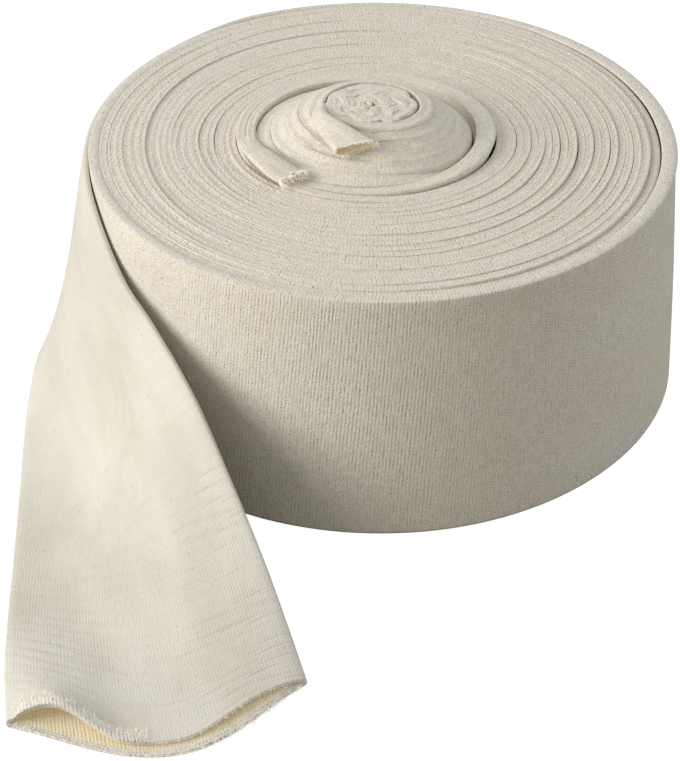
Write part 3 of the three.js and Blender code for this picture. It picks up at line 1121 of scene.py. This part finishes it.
def flat_mouth(name, outer, inner, thickness, hollow, ragged, seed):
    """A closed tube between two edges that opens at its last row. Gives its rim for the threads."""
    at = np.linspace(0, len(outer) - 1, MOUTH_STATIONS)
    left, right = curve_through(outer, at), curve_through(inner, at)
    middle, half = (left + right) / 2, (right - left) / 2
    ahead = unit(np.gradient(middle, axis=0))
    up = unit(np.cross(half, ahead))
    up = up * np.sign(up[:, 2:])
    share = np.linspace(0, 1, MOUTH_STATIONS)
    high = thickness * (THIN_START + (1 - THIN_START) * smooth(0, 0.7, share))
    sunk = SUNK_START * thickness * (1 - smooth(0, 0.55, share))
    angles = np.linspace(0, tau, MOUTH_AROUND, endpoint=False)
    sides, tops = np.cos(angles), np.sign(np.sin(angles)) * np.abs(np.sin(angles)) ** 0.7
    knots = np.random.default_rng(seed).uniform(-1, 1, (2, MOUTH_AROUND))
    frayed = ragged * uneven_ring(knots[0], [0.25, 0.5, 0.25])
    dents = DENTS * uneven_ring(knots[1], [0.2, 0.6, 0.2])

    def ring(i, inset):
        scale = np.linalg.norm(half[i])
        across = half[i] * (sides * (1 - inset / scale))[:, None]
        level = (high[i] - inset) * tops + high[i] - sunk[i] - thickness + dents * share[i] ** 3
        push = frayed * smooth(0.9, 1.0, share[i])
        return middle[i] + across + up[i] * level[:, None] + ahead[i] * push[:, None]

    outside = [ring(i, 0) for i in range(MOUTH_STATIONS)]
    inside = [ring(i, MOUTH_WALL) for i in range(MOUTH_STATIONS - 1, MOUTH_STATIONS - 1 - hollow, -1)]
    rings = np.array(outside + inside)
    girth = girths(rings, MOUTH_AROUND // 4)
    travel = travel_along(middle)
    run = np.concatenate([travel, travel[::-1][:hollow]])
    finish = np.zeros((len(rings) - 1, MOUTH_AROUND), int)
    finish[MOUTH_STATIONS:] = 1
    piece = skin(name, rings, run, girth, [face_knit, inside_knit], finish)
    width = float(np.mean(girth[:MOUTH_STATIONS, -1] - girth[:MOUTH_STATIONS, 0])) / 2
    return piece, (width, float(travel[-1])), (outside[-1], ahead[-1])


print("each mouth has", MOUTH_STATIONS, "outer rings of", MOUTH_AROUND, "points")

# %% The two mouths on the face
CORE_MOUTH_OUTER = np.array([  # edges from where it leaves its turn to the cut, in mm
    [-17.5, 9.7, 85.6],
    [-19.1, 1.3, 85.4],
    [-18.5, -6.8, 85.2],
    [-15.9, -14.0, 84.2],
    [-12.3, -20.8, 83.2],
])
CORE_MOUTH_INNER = np.array([
    [-13.2, 8.5, 87.0],
    [-15.5, 2.1, 87.6],
    [-14.5, -6.4, 88.0],
    [-8.2, -13.6, 87.4],
    [-0.2, -19.6, 85.3],
])
RING_MOUTH_OUTER = np.array([
    [-40.8, 3.1, 78.2],
    [-39.3, -7.7, 78.4],
    [-35.8, -17.1, 78.4],
    [-31.4, -24.8, 78.2],
    [-27.3, -28.5, 77.6],
])
RING_MOUTH_INNER = np.array([
    [-35.1, 3.4, 78.4],
    [-33.3, -6.5, 78.7],
    [-29.4, -13.7, 78.8],
    [-24.9, -19.3, 78.6],
    [-20.5, -23.2, 78.0],
])

core_mouth, core_mouth_flat, core_rim = flat_mouth(
    "core_mouth", CORE_MOUTH_OUTER, CORE_MOUTH_INNER, thickness=2.0, hollow=12, ragged=0.7, seed=51)
ring_mouth, ring_mouth_flat, ring_rim = flat_mouth(
    "ring_mouth", RING_MOUTH_OUTER, RING_MOUTH_INNER, thickness=1.25, hollow=5, ragged=1.2, seed=52)
print("cut mouths, in mm:", [round(v, 1) for v in core_mouth_flat + ring_mouth_flat])

# %% [markdown]
# ## Loose threads
# Every cut of the knit frays into short threads. Hair particles would be the usual tool, but they
# don't come along when the model is exported. So each thread is a thin bent prism of three sides,
# and hundreds of them are one small mesh.

# %% Threads
PRISM_ROWS = (0.0, 0.35, 0.7, 1.0)
PRISM_CORNERS = 3 * len(PRISM_ROWS)
THREAD_FLOOR = 0.15
AIMS_SPREAD = 0.45
BENDS_SPREAD = 0.8
SHORTEST = 0.3


def prism_faces(first):
    """The closed faces of one thread, whose corners start at a number."""
    faces = []
    for row in (0, 3, 6):
        for j in range(3):
            k = (j + 1) % 3
            faces.append([first + row + j, first + row + k, first + row + 3 + k, first + row + 3 + j])
    return faces + [[first + 2, first + 1, first], [first + 9, first + 10, first + 11]]


def threads(name, roots, aims, longest, thickness, seed):
    """Short bent threads that stand out of a cut, each a thin closed prism of three sides."""
    chance = np.random.default_rng(seed)
    count = len(roots)
    aims = unit(aims + chance.normal(0, AIMS_SPREAD, (count, 3)))
    bends = chance.normal(0, BENDS_SPREAD, (count, 3))
    long = longest * chance.uniform(SHORTEST, 1.0, (count, 1)) ** 1.3
    aside = unit(np.cross(aims, bends))
    above = np.cross(aims, aside)
    points = []
    for share in PRISM_ROWS:
        centre = roots + long * (share * aims + 0.5 * share**2 * bends)
        size = thickness / 2 * (1 - 0.5 * share)
        for side in range(3):
            angle = side * tau / 3
            points.append(centre + size * (cos(angle) * aside + sin(angle) * above))
    flat = np.stack(points, axis=1).reshape(-1, 3)
    flat[:, 2] = np.maximum(flat[:, 2], THREAD_FLOOR)
    faces = []
    for first in range(0, PRISM_CORNERS * count, PRISM_CORNERS):
        faces += prism_faces(first)
    mesh = bpy.data.meshes.new(name)
    mesh.from_pydata(flat * MM, [], faces)
    mesh.materials.append(thread_cotton)
    piece = bpy.data.objects.new(name, mesh)
    bpy.context.scene.collection.objects.link(piece)
    print(name, count, "threads")
    return piece


print("each thread has", PRISM_CORNERS, "corners")

# %% Threads round the two mouths
THREAD_THICKNESS = 0.17
ROOT_DEPTH = 0.5


def rim_threads(name, rim, count, longest, seed):
    """Threads round the rim of a cut mouth."""
    points, ahead = rim
    at = np.random.default_rng(seed).uniform(0, len(points), count)
    low = np.floor(at).astype(int)
    high = (low + 1) % len(points)
    f = (at - low)[:, None]
    roots = points[low % len(points)] * (1 - f) + points[high] * f
    roots = roots - ROOT_DEPTH * ahead
    aims = np.tile(ahead, (count, 1))
    return threads(name, roots, aims, longest, THREAD_THICKNESS, seed + 1)


core_threads = rim_threads("core_threads", core_rim, count=170, longest=1.3, seed=61)
ring_threads = rim_threads("ring_threads", ring_rim, count=230, longest=2.0, seed=63)

# %% [markdown]
# ## The loose end
# The last stretch of the tube leaves the roll, twists over and lies down in front. On the real
# bandage it simply fell that way. A cloth simulation would find some fall, but hardly this one. So
# its two folds are laid through the same sections as the solid's, and each section also says how
# far the cloth between them bows out, how far it reaches ahead and how wide the tube is open.

# %% The loose end's sections
SECTIONS = np.array([  # top fold x y z, foot fold x y z, bow, reach, open
    [-21.2, 82.8, 75.0, -21.2, 82.8, 0.1, 0, 0, 0],
    [-40.6, 75.2, 74.95, -40.7, 75.2, 0.1, 0, 0, 0],
    [-56.4, 62.6, 74.5, -57.3, 63.6, 0.2, 0, 0, 0],
    [-69.5, 46.8, 74.2, -68.8, 51.6, 0.4, 0, 0, 0],
    [-78.5, 28.6, 73.9, -81.2, 36, 0.6, 0, 0, 0],
    [-83.1, 9, 73.4, -92.2, 20, 0.8, -1.2, 0, 0],
    [-83.0, -13, 72.4, -100.2, 2, 1.1, -2.0, 0, 0],
    [-78.6, -32.3, 68.4, -102, -20, 1.1, -4.5, 0, 0],
    [-70.7, -51.8, 60.9, -102, -42, 1.1, -9, 0, 0],
    [-61.9, -65.5, 54.8, -101.3, -64, 1.1, -13.5, 0, 0],
    [-50.1, -84.7, 44.3, -100.6, -86, 1.1, -12, 0, 0],
    [-39.7, -104.7, 30.6, -100, -107, 1.1, -6.5, 2, 0],
    [-30.8, -122.5, 17.5, -99.5, -128, 1.1, -3.4, 6, 0.1],
    [-24.4, -139, 8.8, -98.5, -148, 1.1, -1.5, 12, 0.5],
    [-19.2, -156.3, 4.3, -96, -169.6, 1.1, 0, 18, 1],
])
LOOK_AHEAD = 0.01


def cloth_frames(along):
    """Foot fold, step across, run, outward and shape at places along the loose end, 0 to 1."""
    steps = len(SECTIONS) - 1
    at = along * steps
    rows = curve_through(SECTIONS, at)
    ahead = curve_through(SECTIONS, np.minimum(at + LOOK_AHEAD, steps))
    behind = curve_through(SECTIONS, at - LOOK_AHEAD)
    run = unit(unit(ahead[:, :3] - behind[:, :3]) + unit(ahead[:, 3:6] - behind[:, 3:6]))
    across = rows[:, :3] - rows[:, 3:6]
    outward = unit(np.cross(run, across))
    return rows[:, 3:6], across, run, outward, rows[:, 6], rows[:, 7], np.maximum(rows[:, 8], 0)


print("the loose end is laid through", len(SECTIONS), "sections")

# %% [markdown]
# ## How the mouth gapes
# Cut off square, a flattened tube stays shut like an envelope. Handling has opened this one at two
# places: a wide arch on the left and a low one on the right, with the walls nearly touching between
# them. The upper lip also lies further back than the lower one. Each arch is a row of a table, so
# the mouth can be opened or shut without touching the cloth behind it.

# %% The mouth's arches
ARCHES = [  # centre, half width, height, set back
    (0.17, 0.21, 4.6, 4.8),
    (0.80, 0.26, 1.2, 2.2),
]
HEIGHT, SET_BACK = 2, 3
SLIT = 0.25
MOUTH_SET_BACK = 3.6


def hump(value):
    """A smooth bump, 1 in its middle and 0 from one unit away."""
    return np.where(np.abs(value) < 1, np.cos(np.clip(value, -1, 1) * pi / 2) ** 2, 0.0)


def arch_sum(across, column):
    """The arches' height or set back at places across the cloth."""
    return sum(arch[column] * hump((across - arch[0]) / arch[1]) for arch in ARCHES)


def gap_at(across, open_share):
    """How far the upper wall is lifted off the lower one. The two folds stay shut."""
    to_folds = smooth(0, 0.05, across) * smooth(0, 0.05, 1 - across)
    slit = SLIT * smooth(0, 0.3, open_share)
    return (slit + arch_sum(across, HEIGHT) * open_share**1.7) * to_folds


def set_back_at(across, open_share):
    """How far the upper lip's cut lies behind the lower lip's."""
    whole = arch_sum(across, SET_BACK) + MOUTH_SET_BACK * np.sin(pi * across)
    return whole * smooth(0.4, 1, open_share)


arch_middles = np.array([arch[0] for arch in ARCHES])
print("the mouth gapes, in mm:", gap_at(arch_middles, 1.0).round(1))

# %% [markdown]
# ## Sag, reach and the floor
# Between its two folds the cloth isn't flat. It sags toward the lower one, and near the mouth its
# middle reaches further ahead than its sides. The floor then holds it up. A hard limit there would
# leave a crease where the cloth comes down, so the limit is rounded over less than half a
# millimetre.

# %% Points on the cloth
SAG_SCALE = 6.2
SAG_POWER = 1.8
REACH_POWER = 1.25
FLOOR_GAP = 0.05
FLOOR_SOFTNESS = 0.4


def cloth_points(frames, across, height, back):
    """Points over the cloth's middle, at shares across it, heights and distances back."""
    foot, step, run, outward, bow, reach, _ = (values[:, None] for values in frames)
    sag = SAG_SCALE * across * (1 - across) ** SAG_POWER
    ahead = reach * np.sin(pi * across) ** REACH_POWER - back
    middle = foot + step * across[..., None] + outward * (bow * sag)[..., None]
    middle = middle + run * ahead[..., None]
    lowest = FLOOR_GAP + WALL * np.abs(outward[..., 2])
    over_floor = middle[..., 2] - lowest
    middle[..., 2] = lowest + (over_floor + np.hypot(over_floor, FLOOR_SOFTNESS)) / 2
    return middle + outward * height[..., None]


def half_thickness(across):
    """Half of the flattened tube's thickness, which rounds off at its two folds."""
    from_fold = np.minimum(across, 1 - across) * FLAT_WIDTH
    short = np.clip(1 - from_fold / WALL, 0, 1)
    return WALL * np.sqrt(1 - short**2)


print("in the middle the two walls together are", 2 * half_thickness(0.5), "mm thick")

# %% [markdown]
# ## Loops round the tube
# The skin needs closed loops: out along the lower wall and back along the upper one. Most of the
# bending is in the two folds, so the points crowd there. The inner loops are the same walls seen
# from within, and they make the mouth a real opening instead of a dark patch.

# %% Loops
PLACES_ACROSS = 41
CROWDED = 0.35
FOLD_SHARE = 0.08
EXTRA_PLACES = [0.002, 0.006, 0.994, 0.998]


def places_across():
    """Shares across the cloth from fold to fold, closer together at the folds."""
    u = np.linspace(0, 1, PLACES_ACROSS)
    places = 0.5 - 0.5 * np.cos(pi * u)
    places = CROWDED * places + (1 - CROWDED) * u
    at_end = np.where(u > 1 - FOLD_SHARE, 1 - (1 - u) ** 2 / FOLD_SHARE, places)
    places = np.where(u < FOLD_SHARE, u * u / FOLD_SHARE, at_end)
    return np.unique(np.concatenate([np.round(places, 5), EXTRA_PLACES]))


def outer_loop(frames, lower, upper):
    """The tube's outside: its lower wall and its upper one."""
    open_share = frames[6][:, None]
    below = cloth_points(frames, lower, -half_thickness(lower), 0 * lower)
    lifted = half_thickness(upper) + gap_at(upper, open_share)
    return below, cloth_points(frames, upper, lifted, set_back_at(upper, open_share))


def inner_loop(frames, lower, upper):
    """The tube's inside, a wall's thickness in from each fold."""
    open_share = frames[6][:, None]
    inset = WALL / FLAT_WIDTH
    lower_in, upper_in = inset + lower * (1 - 2 * inset), inset + upper * (1 - 2 * inset)
    below = cloth_points(frames, lower_in, 0 * lower, 0 * lower)
    lifted = gap_at(upper_in, open_share)
    return below, cloth_points(frames, upper_in, lifted, set_back_at(upper_in, open_share))


def loose_loops(along, loop):
    """Closed loops at places along the loose end, and how far round the tube their points lie."""
    places = places_across()
    up = places[::-1][1:-1]
    lower, upper = np.tile(places, (len(along), 1)), np.tile(up, (len(along), 1))
    below, above = loop(cloth_frames(along), lower, upper)
    girth = np.concatenate([-(1 - places) * FLAT_WIDTH, (1 - up) * FLAT_WIDTH, [FLAT_WIDTH]])
    return np.concatenate([below, above], axis=1), girth


print("points across the cloth:", len(places_across()))

# %% [markdown]
# ## The loose end's cloth
# Outside and inside are one skin that turns round at the cut edge. It starts hidden behind the roll,
# a hair's breadth from the last turn. Four finishes share it: the knit as it leaves the roll, the
# knit in front, the worn lip at the cut and the dim inside.

# %% The loose end
SEAM_SHARE = 0.972
LEAVING = 110
HOLLOW_SECTIONS = 2.6
OUTER_LOOPS, INNER_LOOPS = 190, 40

section_share = 1 / (len(SECTIONS) - 1)
out_along = np.linspace(section_share * SEAM_SHARE, 1, OUTER_LOOPS)
in_along = 1 - np.linspace(0, HOLLOW_SECTIONS * section_share, INNER_LOOPS)
outside, girth_row = loose_loops(out_along, outer_loop)
inside, _ = loose_loops(in_along, inner_loop)
rings = np.concatenate([outside, inside])
travel = travel_along(outside.mean(axis=1))
run_values = np.concatenate([travel, np.interp(in_along, out_along, travel)])
girth_values = np.tile(girth_row, (len(rings), 1))

loose_finishes = [loose_knit, inside_knit, lip_knit, leaving_knit]
finish = np.zeros((len(rings) - 1, rings.shape[1]), int)
finish[OUTER_LOOPS - 1:, :] = loose_finishes.index(inside_knit)
finish[OUTER_LOOPS - 1:OUTER_LOOPS + 1, :] = loose_finishes.index(lip_knit)
finish[:np.searchsorted(travel, LEAVING), :] = loose_finishes.index(leaving_knit)
loose_end_cloth = skin("loose_end_cloth", rings, run_values, girth_values, loose_finishes, finish)

# %% [markdown]
# ## The turned lip
# A cut knit edge curls. On the left the upper lip has turned back on itself and lies there as a
# narrow soft strip. It could be rolled out of the cloth's own last rows, but those would then have
# to bend by half a circle. A strip of its own that lies on the lip looks the same and stays closed.

# %% The turned lip
LIP_FROM, LIP_TO = 0.02, 0.47
LIP_WIDTH = 4.6
LIP_THICKNESS = 1.7
LIP_STATIONS = 70
LIP_AROUND = 16
LIP_OVERHANG = 0.45
LIP_LEAN = 0.22


def lip_points(across, back, height):
    """Points on or over the upper lip, at a distance back from its cut edge."""
    frames = cloth_frames(np.ones(len(across)))
    across, back, height = across[:, None], back[:, None], height[:, None]
    level = half_thickness(across) + gap_at(across, 1.0) + height
    return cloth_points(frames, across, level, set_back_at(across, 1.0) + back)[:, 0]


lip_at = np.linspace(LIP_FROM, LIP_TO, LIP_STATIONS)
ends = smooth(0, 0.05, lip_at - LIP_FROM) * smooth(0, 0.09, LIP_TO - lip_at)
lip_width = LIP_WIDTH * (0.25 + 0.75 * ends) * (1 + 0.12 * wander(lip_at, 0.03, 71))
lip_rings = []
for a in np.linspace(0, tau, LIP_AROUND, endpoint=False):
    back = lip_width * (0.5 - 0.5 * cos(a)) - LIP_OVERHANG
    swell = LIP_THICKNESS * (0.15 + 0.85 * ends) * (0.25 + 0.55 * sin(a))
    lip_rings.append(lip_points(lip_at, back, swell - LIP_LEAN * (back + LIP_OVERHANG)))
lip_rings = np.stack(lip_rings, axis=1)
lip_travel = (lip_at - LIP_FROM) * FLAT_WIDTH
lip_girth = np.tile(np.linspace(0, 2 * LIP_WIDTH, LIP_AROUND + 1), (len(lip_rings), 1))
turned_lip = skin("turned_lip", lip_rings, lip_travel, lip_girth, [lip_knit])
print("turned lip", round(float(lip_travel[-1])), "mm long")

# %% [markdown]
# ## Threads at the lips
# The cut at the mouth frays most, as it was handled most. The turned lip is furry all over, the
# lower lip along its whole edge, and the upper lip a little where it isn't turned. On the turned lip
# the threads point up and back, on the others straight out of the tube.

# %% Threads at the lips
HEM_THREADS, LOWER_THREADS, UPPER_THREADS = 620, 1000, 200


def lower_lip_points(across, height):
    """Points on the lower lip's cut edge."""
    frames = cloth_frames(np.ones(len(across)))
    return cloth_points(frames, across[:, None], height[:, None], 0 * height[:, None])[:, 0]


chance = np.random.default_rng(81)
hem_at = chance.uniform(LIP_FROM + 0.01, LIP_TO - 0.02, HEM_THREADS)
hem_back = chance.uniform(0.2, LIP_WIDTH - 0.5, HEM_THREADS)
hem_height = chance.uniform(-0.1, 0.4, HEM_THREADS)
lower_at = chance.uniform(0.02, 0.98, LOWER_THREADS)
lower_height = chance.uniform(-0.9, 0.0, LOWER_THREADS)
upper_at = chance.uniform(LIP_TO, 0.98, UPPER_THREADS)
roots = np.concatenate([
    lip_points(hem_at, hem_back, hem_height),
    lower_lip_points(lower_at, lower_height),
    lip_points(upper_at, 0 * upper_at + 0.2, 0 * upper_at - 0.4),
])

at_mouth = cloth_frames(np.ones(1))
mouth_run, mouth_up = at_mouth[2][0], at_mouth[3][0]
aims = np.concatenate([
    np.tile(0.6 * mouth_up - 0.7 * mouth_run, (HEM_THREADS, 1)),
    np.tile(mouth_run, (LOWER_THREADS, 1)),
    np.tile(mouth_run + 0.3 * mouth_up, (UPPER_THREADS, 1)),
])
mouth_threads = threads("mouth_threads", roots, aims, longest=1.25, thickness=0.15, seed=82)

# %% [markdown]
# ## Hiding the solids and attaching the pieces
# Every piece hides the solid that it stands for, and rides on the one body.

WOUND = [
    (core_length, core_flat),
    (ring_length, ring_flat),
    (outer_length, outer_flat),
    (last_turn, last_flat),
]
MOUTHS = [
    (core_mouth, core_mouth_flat, ring_length, core_threads),
    (ring_mouth, ring_mouth_flat, outer_length, ring_threads),
]
NARROWEST = 10
for piece, length in WOUND:
    length * MM
for piece, (width, length), below, fringe in MOUTHS:
    max(width, NARROWEST) * MM
    length * MM
    width * length * MM**2

on_roll = [piece for piece, _ in WOUND] + [core_mouth, ring_mouth, core_threads, ring_threads]
on_loose_end = [loose_end_cloth, turned_lip, mouth_threads]
for piece in on_roll + on_loose_end:
    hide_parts("wound_roll" if piece in on_roll else "loose_end")
    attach(piece, "root")
    print("declared", piece.name)

# %% [markdown]
